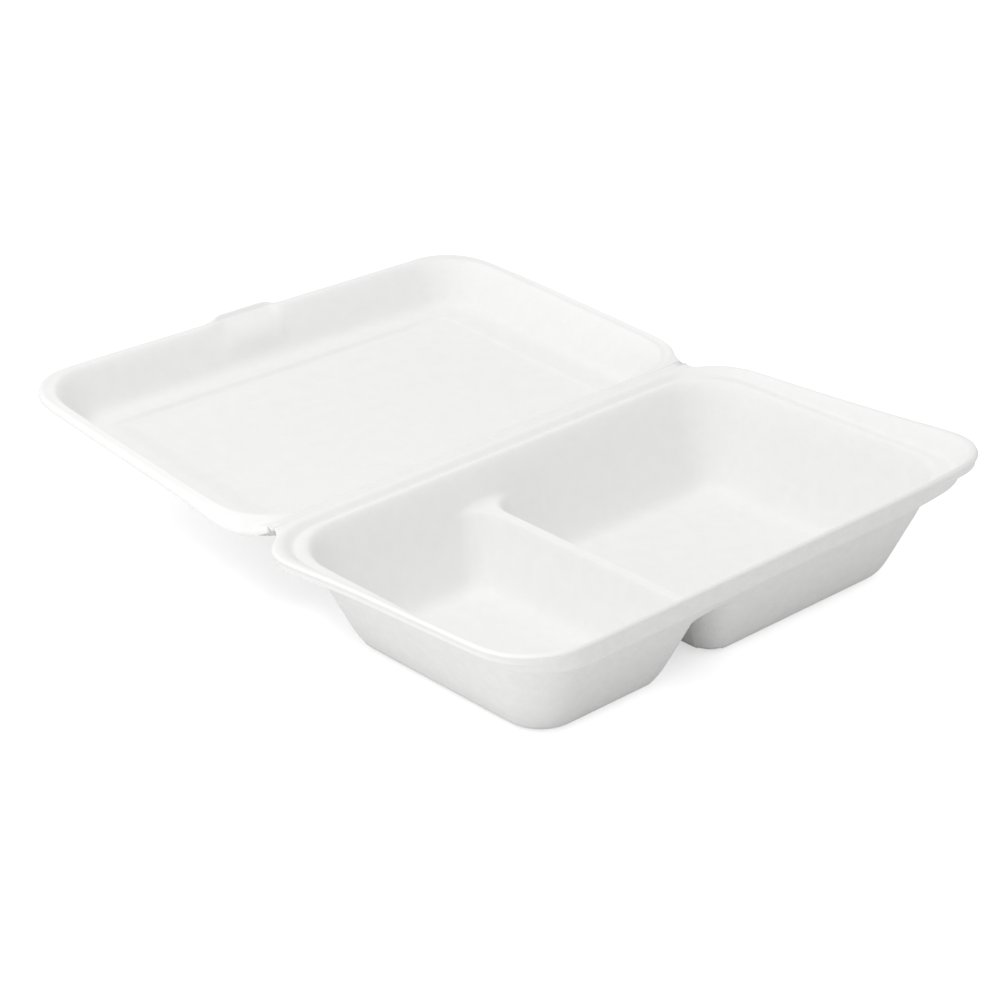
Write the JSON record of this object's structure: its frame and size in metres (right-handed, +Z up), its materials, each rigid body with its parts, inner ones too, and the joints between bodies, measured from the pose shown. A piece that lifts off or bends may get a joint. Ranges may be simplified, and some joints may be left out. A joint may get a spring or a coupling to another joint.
{
  "type": "clamshell food container",
  "caption": "Shallow moulded food container with a divided tray and a hinged lid that nests inside the tray's rim, shown opened flat.",
  "frame": {"origin": "under the middle of the tray's length and width, on the plane the tray stands on", "axes": "+X along the fold, to the right seen from the tray's front; +Y from the tray to the opened lid; +Z up"},
  "size_m": [0.248, 0.3052, 0.0541],
  "materials": {
    "pulp": "matte, finely fibrous"
  },
  "bodies": {
    "tray": {"tray": "pulp"},
    "lid": {"lid": "pulp"}
  },
  "joints": [
    {"name": "lid_hinge", "type": "hinge", "parent": "tray", "child": "lid", "pos_m": [0, 0.0776, 0.0436], "axis": [1, 0, 0], "range_deg": [-17, 175.8]}
  ]
}
